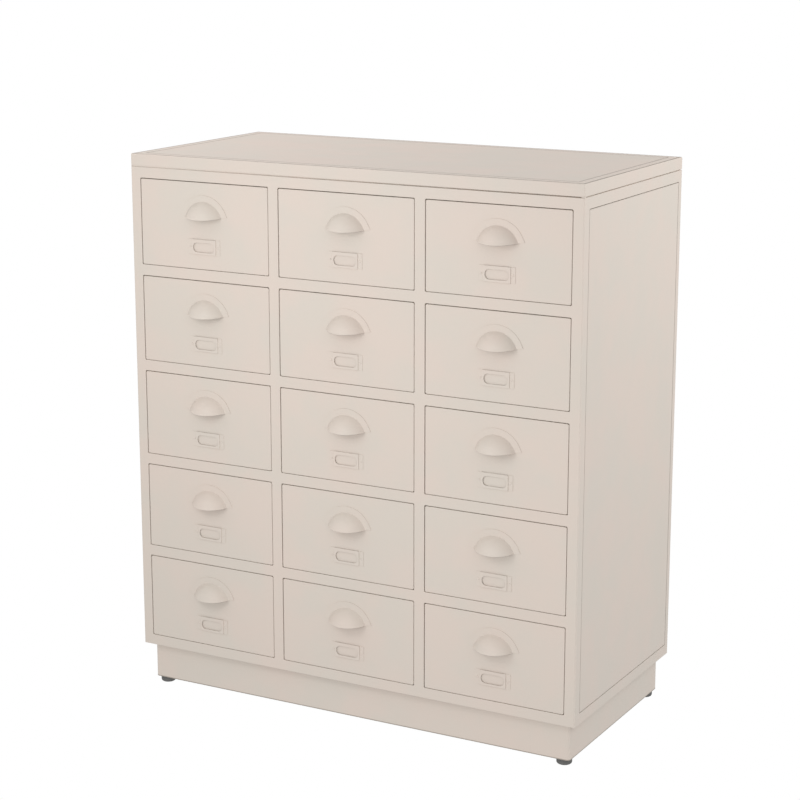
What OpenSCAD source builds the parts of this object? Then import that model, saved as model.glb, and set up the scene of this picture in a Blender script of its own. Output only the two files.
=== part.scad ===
// Steel drawer cabinet on a recessed plinth, with fifteen drawers in three columns and five rows.
// A welded frame of thin-walled tube carries sheet panels. Each drawer is a folded tray with a
// pan-shaped front, a pressed cup pull and a label holder, and it slides on its own pair of channels.
// X runs across the front, Y from front to back and Z up. The origin is under the middle of the
// whole outline, pulls included, at the height of the floor.

/* [Case] */
// Width of the case
case_w = 900; // [780:10:1100]
// Depth of the case, without the pulls
case_d = 430; // [410:5:600]
// Height of one drawer opening
opening_h = 159; // [150:1:190]

/* [Frame tube] */
// Width of a tube as seen from the front
tube_face = 20; // [18:1:30]
// Depth of a front tube, and width of the rim around the top
tube_depth = 20; // [18:1:35]
// Depth of the posts and rails at the back
back_tube_depth = 15; // [12:1:20]
// Wall of every tube
tube_wall = 1.2; // [0.8:0.1:2]
// Height of the frame around the top
top_frame_h = 21.5; // [18:0.5:30]
// Height of the shadow groove under the top frame
top_groove_h = 1.5; // [1:0.5:4]
// Side of the square weld pad that bridges the shadow groove at each corner
weld_pad = 7; // [5:1:12]

/* [Sheet panels] */
// Thickness of the top and side panels' sheet
panel_sheet_t = 1.2; // [0.8:0.1:1.6]
// Depth of the line pressed around the top and side panels
panel_line_depth = 2; // [1:0.1:3]
// Width of the line pressed around the top and side panels
panel_line_w = 1.2; // [0.8:0.1:3]
// Thickness of the plain sheets: back, bottom and inner walls
sheet_t = 1; // [0.6:0.1:2]
// How far the back panel lies behind the back of its frame
back_panel_recess = 2; // [1:0.5:5]

/* [Drawers] */
// Gap beside a drawer front, on each side
front_side_gap = 1.1; // [0.8:0.1:3]
// Gap over a drawer front
front_top_gap = 1.3; // [0.8:0.1:3]
// Gap under a drawer front, where the drawer has settled on its runners
front_bottom_gap = 0.6; // [0.5:0.1:3]
// How far a closed drawer front lies behind the front of the frame
front_recess = 0.5; // [0:0.1:2]
// Radius of a drawer front's corners
front_corner_r = 3; // [1:0.5:10]
// Depth of the fold around a drawer front
front_fold = 17; // [10:1:20]
// Thickness of a drawer front
front_t = 1.2; // [0.8:0.1:2]
// Thickness of a tray's sheet
tray_t = 1; // [0.8:0.1:2]
// Height of a tray
tray_h = 125; // [80:1:130]
// Space between a tray's back and the back panel
tray_back_space = 45; // [10:5:150]
// Height of a tray's underside over the bottom of its opening
tray_lift = 8; // [6:1:15]

/* [Runners] */
// Gap between the fold of a closed drawer front and its runners
runner_gap = 1.3; // [0.5:0.1:10]
// Space beside a tray for its runner
runner_space = 12.5; // [11:0.5:16]
// Thickness of a runner channel
channel_t = 1.2; // [1:0.1:1.6]
// Reach of a channel's flanges from the wall
channel_reach = 10.5; // [9:0.5:10.5]
// Height of the slide bar on a tray's side
slide_bar_h = 6; // [4:0.5:12]
// Width of the slide bar on a tray's side
slide_bar_w = 9; // [7:0.5:9.5]
// Height of the slide bar's underside over the tray's underside
slide_bar_lift = 40; // [10:1:60]
// Clearance over and under the slide bar
slide_clearance = 0.4; // [0.2:0.1:1]

/* [Cup pulls] */
// Half of the width of a pull's dome along its open edge
dome_half_w = 38.5; // [36:0.5:50]
// Height of the dome
dome_h = 28.5; // [26:0.5:34]
// How far the dome stands out from the drawer front
dome_out = 25.5; // [20:0.5:32]
// Width of the flange around the dome
flange_w = 11; // [5:0.5:14]
// Thickness of the pull's sheet
pull_t = 1.2; // [0.8:0.1:2]
// Height of the pull's open edge over the middle of the drawer front
pull_rise = 16; // [8:1:20]

/* [Label holders] */
// Width over the ears
label_w = 68; // [66:1:90]
// Width of the raised frame
label_frame_w = 51; // [46:1:54]
// Height of the holder
label_h = 27.5; // [24:0.5:34]
// How far the raised frame stands out
label_out = 2.2; // [1.5:0.1:5]
// Thickness of the holder's sheet
label_t = 0.8; // [0.5:0.1:1]
// Width of the frame's border beside its window
label_side_border = 3; // [2:0.5:8]
// Width of the frame's border over its window
label_top_border = 6; // [2:0.5:8]
// Width of the frame's border under its window
label_bottom_border = 4; // [2:0.5:8]
// Radius of the window's corners, as far as the window's height allows
window_r = 8; // [2:0.5:12]
// How far the middle of the holder lies under the middle of the drawer front
label_drop = 38; // [34:1:50]
// Radius of a rivet's head
rivet_r = 2; // [1.5:0.1:3]
// Height of a rivet's head over the ear
rivet_h = 0.9; // [0.5:0.1:1.5]

/* [Plinth and feet] */
// Height of the plinth's sheet
plinth_h = 69; // [50:1:120]
// How far the plinth lies in from the case on every side
plinth_inset = 15; // [6:1:40]
// Thickness of the plinth's sheet
plinth_t = 1.5; // [1:0.1:3]
// Outside radius of the plinth's corners
plinth_corner_r = 6; // [3:0.5:12]
// Height of the plinth's lower edge over the floor
foot_gap = 12; // [5:1:12]
// Radius of a foot's pad
pad_r = 14; // [10:0.5:16]
// Height of a foot's pad
pad_h = 13; // [9:0.5:16]
// Radius of the rounding at the pad's lower edge
pad_round = 4; // [1:0.5:5]
// Clearance between a foot's pad and the plinth's sheet
pad_clearance = 1; // [0.5:0.5:14]
// Radius of a foot's threaded stud
stud_r = 4; // [3:0.5:5]
// Length of the stud above the pad
stud_len = 30; // [20:1:36]
// Width of the lock nut and of the weld nut across their flats
nut_flats = 13; // [13:1:19]
// Height of the lock nut and of the weld nut
nut_h = 5; // [4:0.5:8]
// Thickness of the corner plate that carries a foot
foot_plate_t = 3; // [2:0.5:5]
// Side of the square corner plate that carries a foot
foot_plate_w = 60; // [50:1:80]
// Clearance around the stud in the plate and the weld nut
stud_clearance = 0.05; // [0.05:0.05:0.3]

/* [Hidden] */
COLUMNS = 3;
ROWS = 5;
EPS = 1; // overshoot of a cutting tool

// Heights, from the floor up
case_bottom = foot_gap + plinth_h;
first_opening = case_bottom + tube_face;
row_pitch = opening_h + tube_face;
openings_top = first_opening + ROWS * row_pitch - tube_face;
groove_bottom = openings_top + tube_face;
top_frame_bottom = groove_bottom + top_groove_h;
case_top = top_frame_bottom + top_frame_h;

// Depths: the whole outline, pulls included, is centred on Y = 0
pull_out = dome_out - front_recess;
front_y = (pull_out - case_d) / 2;
back_y = front_y + case_d;
frame_back = front_y + tube_depth;
back_frame_front = back_y - back_tube_depth;
inner_len = back_frame_front - frame_back;
back_panel_y = back_y - back_panel_recess - sheet_t;
drawer_y = front_y + front_recess;
tray_back_y = back_panel_y - tray_back_space;
runner_y = drawer_y + front_t + front_fold + runner_gap;

// Widths
panel_t = panel_sheet_t + panel_line_depth;
opening_w = (case_w - (COLUMNS + 1) * tube_face) / COLUMNS;
column_pitch = opening_w + tube_face;
front_w = opening_w - 2 * front_side_gap;
front_h = opening_h - front_bottom_gap - front_top_gap;
tray_w = opening_w - 2 * runner_space;

// A dome's sphere: its middle lies behind the drawer front and below the pull's open edge
dome_below = (pow(dome_half_w, 2) - pow(dome_h, 2)) / (2 * dome_h);
dome_behind = (pow(dome_half_w, 2) - pow(dome_out, 2)) / (2 * dome_out);
dome_r = sqrt(pow(dome_half_w, 2) + pow(dome_below, 2) + pow(dome_behind, 2));
flange_r = dome_h + dome_below + flange_w;

// A label holder's window, and the least straight stretch beside its corners
window_w = label_frame_w - 2 * label_side_border;
window_h = label_h - label_top_border - label_bottom_border;
window_z = (label_bottom_border - label_top_border) / 2;
window_straight = 1;
window_corner_r = min(window_r, (window_h - window_straight) / 2);

// Feet: their middles lie this far in from the plinth's outside
foot_inset = plinth_t + pad_clearance + pad_r;
foot_x = case_w / 2 - plinth_inset - foot_inset;
foot_front_y = front_y + plinth_inset + foot_inset;
foot_back_y = back_y - plinth_inset - foot_inset;
foot_plate_z = pad_h + nut_h;

CASE_NODES = ["corner_posts", "top_frame", "top_panel", "front_rails", "front_mullions",
              "side_and_back_rails", "left_side_panel", "right_side_panel", "back_panel",
              "bottom_panel", "inner_walls", "drawer_channels", "plinth", "foot_pads", "foot_studs"];
// The three nodes of each drawer, such as drawer_r1c3 in the top row's right column
DRAWER_PARTS = ["drawer", "cup_pull", "label_holder"];
function drawer_name(part, row, column) = str(part, "_r", row, "c", column);
DRAWER_NODES = [for (part = DRAWER_PARTS, row = [1:ROWS], column = [1:COLUMNS])
                drawer_name(part, row, column)];

CREAM = [0.88, 0.84, 0.79];
CREAM_SHADE = [0.80, 0.75, 0.70];
ZINC = [0.75, 0.75, 0.76];
DARK_GREY = [0.18, 0.18, 0.18];

// Middle of a column's openings, and the lower edge of a row's openings; row 1 is at the top
function column_x(column) = (column - (COLUMNS + 1) / 2) * column_pitch;
function row_z(row) = first_opening + (ROWS - row) * row_pitch;

// ---- Shared shapes ----

// Box between two corners
module span_box(low, high) {
    translate(low)
        cube(high - low);
}

// Open tube along X, standing on its lower left front corner
module tube_x(length, depth, height) {
    difference() {
        cube([length, depth, height]);
        translate([-EPS, tube_wall, tube_wall])
            cube([length + 2 * EPS, depth - 2 * tube_wall, height - 2 * tube_wall]);
    }
}

// Open tube along Y
module tube_y(width, length, height) {
    difference() {
        cube([width, length, height]);
        translate([tube_wall, -EPS, tube_wall])
            cube([width - 2 * tube_wall, length + 2 * EPS, height - 2 * tube_wall]);
    }
}

// Open tube along Z
module tube_z(width, depth, height) {
    difference() {
        cube([width, depth, height]);
        translate([tube_wall, tube_wall, -EPS])
            cube([width - 2 * tube_wall, depth - 2 * tube_wall, height + 2 * EPS]);
    }
}

// Rectangle with round corners, centred
module round_rect(w, h, r) {
    union() {
        square([w - 2 * r, h], center = true);
        square([w, h - 2 * r], center = true);
        for (x = [-1, 1], y = [-1, 1])
            translate([x * (w / 2 - r), y * (h / 2 - r)])
                circle(r, $fn = 32);
    }
}

// Panel pressed from one sheet, lying on z = 0 with its face up: a narrow flange all round and,
// inside the line, a raised field that is hollow from below
module lined_panel(w, h) {
    field_w = w - 2 * panel_line_w;
    field_h = h - 2 * panel_line_w;
    hollow_w = field_w - 2 * panel_sheet_t;
    hollow_h = field_h - 2 * panel_sheet_t;
    difference() {
        union() {
            translate([-w / 2, -h / 2, 0])
                cube([w, h, panel_sheet_t]);
            translate([-field_w / 2, -field_h / 2, 0])
                cube([field_w, field_h, panel_t]);
        }
        translate([-hollow_w / 2, -hollow_h / 2, -EPS])
            cube([hollow_w, hollow_h, panel_line_depth + EPS]);
    }
}

// Repeats its children at the middle of each foot
module at_feet() {
    for (x = [-foot_x, foot_x], y = [foot_front_y, foot_back_y])
        translate([x, y, 0])
            children();
}

// ---- Case ----

// One corner post with its weld pad under the top frame. The pad of a front post fills the outer
// corner, and that of a back post stands on the middle of the tube, so the groove runs on past it.
module corner_post(side, is_front) {
    depth = is_front ? tube_depth : back_tube_depth;
    post_x = side * (case_w - tube_face) / 2;
    post_y = is_front ? front_y + depth / 2 : back_y - depth / 2;
    pad_x = is_front ? side * (case_w - weld_pad) / 2 : post_x;
    pad_y = is_front ? front_y + weld_pad / 2 : post_y;
    translate([post_x - tube_face / 2, post_y - depth / 2, case_bottom])
        tube_z(tube_face, depth, groove_bottom - case_bottom);
    translate([pad_x - weld_pad / 2, pad_y - weld_pad / 2, groove_bottom])
        cube([weld_pad, weld_pad, top_groove_h]);
}

module corner_posts() {
    color(CREAM)
        for (side = [-1, 1], is_front = [true, false])
            corner_post(side, is_front);
}

// Rectangular ring on z = 0, centred, w by d outside
module rect_ring(w, d, wall, h) {
    linear_extrude(h)
        difference() {
            square([w, d], center = true);
            square([w - 2 * wall, d - 2 * wall], center = true);
        }
}

// Four tubes welded into one ring, which is hollow all the way round
module top_frame() {
    color(CREAM)
        translate([0, (front_y + back_y) / 2, top_frame_bottom])
            difference() {
                rect_ring(case_w, case_d, tube_depth, top_frame_h);
                translate([0, 0, tube_wall])
                    rect_ring(case_w - 2 * tube_wall, case_d - 2 * tube_wall,
                              tube_depth - 2 * tube_wall, top_frame_h - 2 * tube_wall);
            }
}

module top_panel() {
    color(CREAM)
        translate([0, (front_y + back_y) / 2, case_top - panel_t])
            lined_panel(case_w - 2 * tube_depth, case_d - 2 * tube_depth);
}

// Rails across the front: under the top groove, between the rows and under the last row
module front_rails() {
    color(CREAM)
        for (level = [0:ROWS])
            translate([tube_face - case_w / 2, front_y, case_bottom + level * row_pitch])
                tube_x(case_w - 2 * tube_face, tube_depth, tube_face);
}

// Short uprights between the front rails
module front_mullions() {
    color(CREAM)
        for (row = [1:ROWS], gap = [1:COLUMNS - 1])
            translate([column_x(gap) + opening_w / 2, front_y, row_z(row)])
                tube_z(tube_face, tube_depth, opening_h);
}

// Rails along both sides and across the back, at the bottom and under the top groove
module side_and_back_rails() {
    color(CREAM)
        for (z = [case_bottom, groove_bottom - tube_face]) {
            for (x = [-case_w / 2, case_w / 2 - tube_face])
                translate([x, frame_back, z])
                    tube_y(tube_face, inner_len, tube_face);
            translate([tube_face - case_w / 2, back_frame_front, z])
                tube_x(case_w - 2 * tube_face, back_tube_depth, tube_face);
        }
}

// Side panel between the posts and rails of one side, with its lined face outwards
module side_panel(side) {
    mid_y = (frame_back + back_frame_front) / 2;
    mid_z = (first_opening + openings_top) / 2;
    color(CREAM)
        translate([side * (case_w / 2 - panel_t), mid_y, mid_z])
            rotate([0, side * 90, 0])
                lined_panel(openings_top - first_opening, inner_len);
}

module left_side_panel() {
    side_panel(-1);
}

module right_side_panel() {
    side_panel(1);
}

module back_panel() {
    color(CREAM)
        span_box([tube_face - case_w / 2, back_panel_y, first_opening],
                 [case_w / 2 - tube_face, back_panel_y + sheet_t, openings_top]);
}

module bottom_panel() {
    color(CREAM)
        span_box([tube_face - case_w / 2, frame_back, case_bottom],
                 [case_w / 2 - tube_face, back_frame_front, case_bottom + sheet_t]);
}

// Sheets along both sides of each column of openings, which carry the channels. Those between two
// columns stand on the bottom panel, and the outermost ones fit between the side rails.
module inner_walls() {
    color(CREAM_SHADE)
        for (column = [1:COLUMNS], side = [-1, 1]) {
            is_outermost = column == (side < 0 ? 1 : COLUMNS);
            low_z = is_outermost ? first_opening : case_bottom + sheet_t;
            high_z = is_outermost ? openings_top : groove_bottom;
            wall_x = column_x(column) + side * (opening_w + sheet_t) / 2;
            span_box([wall_x - sheet_t / 2, frame_back, low_z],
                     [wall_x + sheet_t / 2, back_frame_front, high_z]);
        }
}

// ---- Runners ----

// Height of a slide bar's underside over the lower edge of its opening
bar_z = tray_lift + slide_bar_lift;
channel_inside = slide_bar_h + 2 * slide_clearance;

// Channel section with its web on x = 0 and its mouth towards +X, standing on z = 0
module channel_section() {
    height = channel_inside + 2 * channel_t;
    polygon([[0, 0], [channel_reach, 0], [channel_reach, channel_t], [channel_t, channel_t],
             [channel_t, height - channel_t], [channel_reach, height - channel_t],
             [channel_reach, height], [0, height]]);
}

// One channel at the given side of an opening, from behind the drawer front to the back frame
module drawer_channel(side) {
    translate([side * opening_w / 2, back_frame_front, bar_z - slide_clearance - channel_t])
        mirror([side > 0 ? 1 : 0, 0, 0])
            rotate([90, 0, 0])
                linear_extrude(back_frame_front - runner_y)
                    channel_section();
}

module drawer_channels() {
    color(ZINC)
        for (row = [1:ROWS], column = [1:COLUMNS], side = [-1, 1])
            translate([column_x(column), 0, row_z(row)])
                drawer_channel(side);
}

// ---- Drawers ----

// Pan-shaped drawer front: a face with round corners and a fold behind each edge
module drawer_front() {
    fold_w = front_w - 2 * front_corner_r;
    fold_h = front_h - 2 * front_corner_r;
    fold_y = drawer_y + front_t;
    translate([0, drawer_y + front_t, front_bottom_gap + front_h / 2])
        rotate([90, 0, 0])
            linear_extrude(front_t)
                round_rect(front_w, front_h, front_corner_r);
    for (z = [front_bottom_gap, opening_h - front_top_gap - front_t])
        translate([-fold_w / 2, fold_y, z])
            cube([fold_w, front_fold, front_t]);
    for (x = [-front_w / 2, front_w / 2 - front_t])
        translate([x, fold_y, front_bottom_gap + front_corner_r])
            cube([front_t, front_fold, fold_h]);
}

// Tray behind the front: a bottom, two sides and a back
module drawer_tray() {
    start_y = drawer_y + front_t;
    half_w = tray_w / 2;
    low_z = tray_lift;
    floor_z = tray_lift + tray_t;
    top_z = tray_lift + tray_h;
    span_box([-half_w, start_y, low_z], [half_w, tray_back_y, floor_z]);
    span_box([-half_w, start_y, floor_z], [tray_t - half_w, tray_back_y, top_z]);
    span_box([half_w - tray_t, start_y, floor_z], [half_w, tray_back_y, top_z]);
    span_box([tray_t - half_w, tray_back_y - tray_t, floor_z], [half_w - tray_t, tray_back_y, top_z]);
}

// Slide bar on the given side of the tray, behind the fold of the front
module slide_bar(side) {
    low_x = side < 0 ? -tray_w / 2 - slide_bar_w : tray_w / 2;
    translate([low_x, runner_y, bar_z])
        cube([slide_bar_w, tray_back_y - runner_y, slide_bar_h]);
}

module drawer(row, column) {
    color(CREAM)
        translate([column_x(column), 0, row_z(row)]) {
            drawer_front();
            drawer_tray();
        }
    color(ZINC)
        translate([column_x(column), 0, row_z(row)])
            for (side = [-1, 1])
                slide_bar(side);
}

// Pressed cup pull: part of a sphere over the drawer front, with a flange around it, open below
module cup_pull(row, column) {
    middle = row_z(row) + opening_h / 2;
    color(CREAM)
        translate([column_x(column), drawer_y, middle + pull_rise])
            difference() {
                intersection() {
                    union() {
                        translate([0, 0, -dome_below])
                            rotate([90, 0, 0])
                                cylinder(h = pull_t, r = flange_r, $fn = 96);
                        translate([0, dome_behind, -dome_below])
                            sphere(dome_r, $fn = 96);
                    }
                    translate([-dome_r - flange_r, -dome_r, 0])
                        cube([2 * (dome_r + flange_r), dome_r, 2 * dome_r]);
                }
                translate([0, dome_behind, -dome_below])
                    sphere(dome_r - pull_t, $fn = 96);
            }
}

// Label holder: ears flat on the drawer front and a raised frame with a window, open above for a card
module label_holder(row, column) {
    middle = row_z(row) + opening_h / 2 - label_drop;
    rivet_x = (label_w + label_frame_w) / 4;
    color(CREAM)
        translate([column_x(column), drawer_y, middle])
            rotate([90, 0, 0]) {
                difference() {
                    union() {
                        translate([-label_w / 2, -label_h / 2, 0])
                            cube([label_w, label_h, label_t]);
                        translate([-label_frame_w / 2, -label_h / 2, 0])
                            cube([label_frame_w, label_h, label_out]);
                    }
                    translate([label_t - label_frame_w / 2, label_t - label_h / 2, -EPS])
                        cube([label_frame_w - 2 * label_t, label_h, label_out - label_t + EPS]);
                    translate([0, window_z, -EPS])
                        linear_extrude(label_out + 2 * EPS)
                            round_rect(window_w, window_h, window_corner_r);
                }
                for (x = [-rivet_x, rivet_x])
                    translate([x, 0, label_t])
                        cylinder(h = rivet_h, r = rivet_r, $fn = 32);
            }
}

// ---- Plinth and feet ----

// Corner plate with a weld nut on it, which carries one foot
module foot_plate(side_x, side_y) {
    low_x = side_x < 0 ? -case_w / 2 + plinth_inset + plinth_t
                       : case_w / 2 - plinth_inset - plinth_t - foot_plate_w;
    low_y = side_y < 0 ? front_y + plinth_inset + plinth_t
                       : back_y - plinth_inset - plinth_t - foot_plate_w;
    foot_y = side_y < 0 ? foot_front_y : foot_back_y;
    chamfer_x = side_x < 0 ? low_x : low_x + foot_plate_w;
    chamfer_y = side_y < 0 ? low_y : low_y + foot_plate_w;
    difference() {
        union() {
            translate([low_x, low_y, foot_plate_z])
                cube([foot_plate_w, foot_plate_w, foot_plate_t]);
            translate([side_x * foot_x, foot_y, foot_plate_z + foot_plate_t])
                cylinder(h = nut_h, r = nut_flats / sqrt(3), $fn = 6);
        }
        translate([side_x * foot_x, foot_y, foot_plate_z - EPS])
            cylinder(h = foot_plate_t + nut_h + 2 * EPS, r = stud_r + stud_clearance, $fn = 48);
        translate([chamfer_x, chamfer_y, foot_plate_z - EPS])
            rotate([0, 0, 45])
                cube([2 * plinth_corner_r, 2 * plinth_corner_r, 2 * (foot_plate_t + 2 * EPS)], center = true);
    }
}

module plinth() {
    outer_w = case_w - 2 * plinth_inset;
    outer_d = case_d - 2 * plinth_inset;
    color(CREAM) {
        translate([0, (front_y + back_y) / 2, foot_gap])
            linear_extrude(plinth_h)
                difference() {
                    round_rect(outer_w, outer_d, plinth_corner_r);
                    round_rect(outer_w - 2 * plinth_t, outer_d - 2 * plinth_t, plinth_corner_r - plinth_t);
                }
        for (side_x = [-1, 1], side_y = [-1, 1])
            foot_plate(side_x, side_y);
    }
}

// Round pads with a rounded lower edge
module foot_pads() {
    color(DARK_GREY)
        at_feet()
            rotate_extrude($fn = 64)
                union() {
                    square([pad_r - pad_round, pad_h]);
                    translate([0, pad_round])
                        square([pad_r, pad_h - pad_round]);
                    translate([pad_r - pad_round, pad_round])
                        intersection() {
                            circle(pad_round, $fn = 32);
                            translate([0, -pad_round])
                                square(pad_round);
                        }
                }
}

// Studs with their lock nuts, which close up against the corner plates from below
module foot_studs() {
    color(ZINC)
        at_feet()
            translate([0, 0, pad_h]) {
                cylinder(h = nut_h, r = nut_flats / sqrt(3), $fn = 6);
                cylinder(h = stud_len, r = stud_r, $fn = 48);
            }
}

corner_posts();
top_frame();
top_panel();
front_rails();
front_mullions();
side_and_back_rails();
left_side_panel();
right_side_panel();
back_panel();
bottom_panel();
inner_walls();
drawer_channels();
plinth();
foot_pads();
foot_studs();
for (row = [1:ROWS], column = [1:COLUMNS]) {
    drawer(row, column);
    cup_pull(row, column);
    label_holder(row, column);
}
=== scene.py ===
"""Looks of a steel drawer cabinet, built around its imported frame.

A welded tube frame carries pressed panels and fifteen drawers. Each drawer has a pan-shaped front, a
tray on two slide bars, a pressed cup pull and a riveted card holder. The cabinet stands on a plinth
with four glides. Every piece is a surface worked out with numpy, in metres, where its node is.
+X runs to the right of the front, +Y from front to back and +Z up.
"""
import logging
import math
from dataclasses import dataclass, field, replace
from enum import Enum

import bmesh
import bpy
import numpy as np
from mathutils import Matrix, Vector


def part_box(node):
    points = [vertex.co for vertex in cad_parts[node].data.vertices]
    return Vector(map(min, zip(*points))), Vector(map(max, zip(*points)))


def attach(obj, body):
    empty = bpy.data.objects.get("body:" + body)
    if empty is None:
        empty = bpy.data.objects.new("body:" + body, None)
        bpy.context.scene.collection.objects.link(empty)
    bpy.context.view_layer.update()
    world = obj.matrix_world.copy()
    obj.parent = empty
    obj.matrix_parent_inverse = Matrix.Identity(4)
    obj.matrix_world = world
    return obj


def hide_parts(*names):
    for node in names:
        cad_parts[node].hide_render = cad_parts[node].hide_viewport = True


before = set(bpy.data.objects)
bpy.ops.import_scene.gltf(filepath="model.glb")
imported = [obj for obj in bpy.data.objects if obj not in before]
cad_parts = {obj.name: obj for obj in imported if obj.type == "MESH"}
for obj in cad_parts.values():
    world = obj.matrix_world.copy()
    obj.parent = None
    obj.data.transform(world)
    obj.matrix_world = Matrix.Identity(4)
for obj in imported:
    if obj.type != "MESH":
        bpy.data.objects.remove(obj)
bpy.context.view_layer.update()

LOG = logging.getLogger("cabinet")
Array = np.ndarray
Colour = tuple[float, float, float]

ROWS = 5
COLUMNS = 3
MERGE = 1e-6          # points closer than this are one point
SHARP = math.radians(38)  # edges that turn by more than this stay sharp
ARC_STEPS = 6         # steps of a quarter turn in an outline's corner
EDGE_STEPS = 4        # steps of a quarter turn across a rounded edge
EDGE_MIDDLE = 0.3     # how far a rounded edge's middle is drawn in, as a share of its radius
LEAST_ANGLE = 1e-6    # a row's half angle is at least this, so that its sine isn't zero
NOISE_ROUGHNESS = 0.55  # strength of each finer layer of a noise, as a share of the one before


# ---------------------------------------------------------------- surfaces

class Facing(Enum):
    """Which way a flat shape faces, as its first and second axes. Their cross product points out."""

    FRONT = ((1, 0, 0), (0, 0, 1))
    RIGHT = ((0, 1, 0), (0, 0, 1))
    LEFT = ((0, -1, 0), (0, 0, 1))
    UP = ((1, 0, 0), (0, 1, 0))

    def place(self, points: Array, origin: tuple[float, float, float]) -> Array:
        """Puts points of (first, second, out) into the frame.

        Args:
            points: Any number of points, three numbers each.
            origin: Where their zero lies, in metres.

        Returns:
            The same points in the frame's coordinates.
        """
        first, second = np.array(self.value, float)
        axes = np.stack([first, second, np.cross(first, second)])
        return points.reshape(-1, 3) @ axes + np.array(origin, float)


@dataclass(frozen=True)
class Outline:
    """One rounded rectangle of a loft.

    Attributes:
        low: Its lowest first and second coordinates.
        high: Its highest first and second coordinates.
        radius: Radius of its corners, one for all or four, anticlockwise from high, high.
        out: How far it lies out of the shape's plane.
        wear_and_highlight: How much paler it is there, from 0 to 1: thin coat and painted highlight.
        shade_and_dust: How much darker it is there, from 0 to 1: painted shade, partly dirt.
    """

    low: tuple[float, float]
    high: tuple[float, float]
    radius: float | tuple[float, float, float, float]
    out: float
    wear_and_highlight: float = 0.0
    shade_and_dust: float = 0.0

    def inset(self, by: float, out: float, wear_and_highlight: float = 0.0, shade_and_dust: float = 0.0) -> "Outline":
        """The same outline drawn in on every side, with corners that stay concentric.

        Args:
            by: How far it is drawn in.
            out: Its new level.
            wear_and_highlight: Its paler edge: thin coat and painted highlight.
            shade_and_dust: Its painted shade, partly dirt.

        Returns:
            The new outline.
        """
        radius = np.maximum(np.broadcast_to(self.radius, 4) - by, 0.0)
        return Outline((self.low[0] + by, self.low[1] + by), (self.high[0] - by, self.high[1] - by),
                       tuple(radius), out, wear_and_highlight, shade_and_dust)

    def points(self) -> Array:
        """Points round the outline, anticlockwise.

        A point is its corner's centre plus radius * (cos t, sin t), and t runs over a quarter turn in
        each corner. The centre lies one radius in from both sides. The sides are the steps between.

        Returns:
            One row of (first, second, out) for each point.
        """
        quarter = np.linspace(0.0, np.pi / 2, ARC_STEPS + 1)
        turn = np.arange(4)[:, None] * np.pi / 2 + quarter
        radius = np.broadcast_to(self.radius, 4)[:, None]
        right, above = np.array([[1, 0, 0, 1], [1, 1, 0, 0]])[:, :, None]
        first = np.where(right, self.high[0] - radius, self.low[0] + radius) + radius * np.cos(turn)
        second = np.where(above, self.high[1] - radius, self.low[1] + radius) + radius * np.sin(turn)
        return np.stack([first, second, np.full_like(first, self.out)], -1).reshape(-1, 3)


def around(middle: tuple[float, float], size: tuple[float, float],
           radius: float | tuple[float, float, float, float], out: float) -> Outline:
    """A rounded rectangle of the given size about a middle."""
    low = (middle[0] - size[0] / 2, middle[1] - size[1] / 2)
    return Outline(low, (low[0] + size[0], low[1] + size[1]), radius, out)


def round_over(side: Outline, radius: float, top: float, wear_and_highlight: float = 0.0) -> list[Outline]:
    """Outlines over a convex edge, from the side up to the face.

    At angle t the outline is drawn in by radius * (1 - cos t) and lies at top - radius * (1 - sin t).

    Args:
        side: The outline on the side, below the edge.
        radius: The edge's radius.
        top: Level of the face.
        wear_and_highlight: How pale the middle of the edge is: thin coat and painted highlight.

    Returns:
        The outlines in order, the first still on the side and the last on the face.
    """
    turn = np.linspace(0.0, np.pi / 2, EDGE_STEPS + 1)
    return [side.inset(radius * (1 - math.cos(t)), top - radius * (1 - math.sin(t)), wear_and_highlight * math.sin(2 * t))
            for t in turn]


def round_under(face: Outline, radius: float, top: float, wear_and_highlight: float = 0.0) -> list[Outline]:
    """Outlines over a convex edge that leads down into a hole, from the face to the hole's wall.

    At angle t the outline is drawn in by radius * sin t and lies at top - radius * (1 - cos t).

    Args:
        face: The outline on the face, where the edge begins.
        radius: The edge's radius.
        top: Level of the face.
        wear_and_highlight: How pale the middle of the edge is: thin coat and painted highlight.

    Returns:
        The outlines in order, the first on the face and the last on the wall.
    """
    turn = np.linspace(0.0, np.pi / 2, EDGE_STEPS + 1)
    return [face.inset(radius * math.sin(t), top - radius * (1 - math.cos(t)), wear_and_highlight * math.sin(2 * t))
            for t in turn]


def turned_over(outlines: list[Outline], height: float, wear_and_highlight: float = 0.0) -> list[Outline]:
    """The outlines over a block's upper edge as those over its lower edge, in order from zero up."""
    return [replace(outline, out=height - outline.out, wear_and_highlight=wear_and_highlight) for outline in outlines[::-1]]


def grid_faces(rows: int, columns: int, wrap_rows: bool, wrap_columns: bool) -> Array:
    """Quads between the points of a grid that are numbered row by row.

    Args:
        rows: Number of rows.
        columns: Number of points in a row.
        wrap_rows: Whether the last row joins the first.
        wrap_columns: Whether the last point of a row joins its first.

    Returns:
        Four point numbers for each quad.
    """
    row, column = np.meshgrid(np.arange(rows - (not wrap_rows)), np.arange(columns - (not wrap_columns)),
                              indexing="ij")
    next_row, next_column = (row + 1) % rows, (column + 1) % columns
    quads = [row * columns + column, row * columns + next_column,
             next_row * columns + next_column, next_row * columns + column]
    return np.stack(quads, -1).reshape(-1, 4)


@dataclass
class Surface:
    """Points with their faces.

    Attributes:
        points: One row of three coordinates for each point.
        faces: Each face's point numbers.
        wear_and_highlight: How much paler each point is, from 0 to 1: thin coat and painted highlight.
        shade_and_dust: How much darker it is, from 0 to 1: painted shade, partly dirt.
    """

    points: Array
    faces: list[list[int]]
    wear_and_highlight: Array
    shade_and_dust: Array

    def moved(self, by: tuple[float, float, float]) -> "Surface":
        """A copy that lies elsewhere."""
        return replace(self, points=self.points + np.array(by, float))


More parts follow.
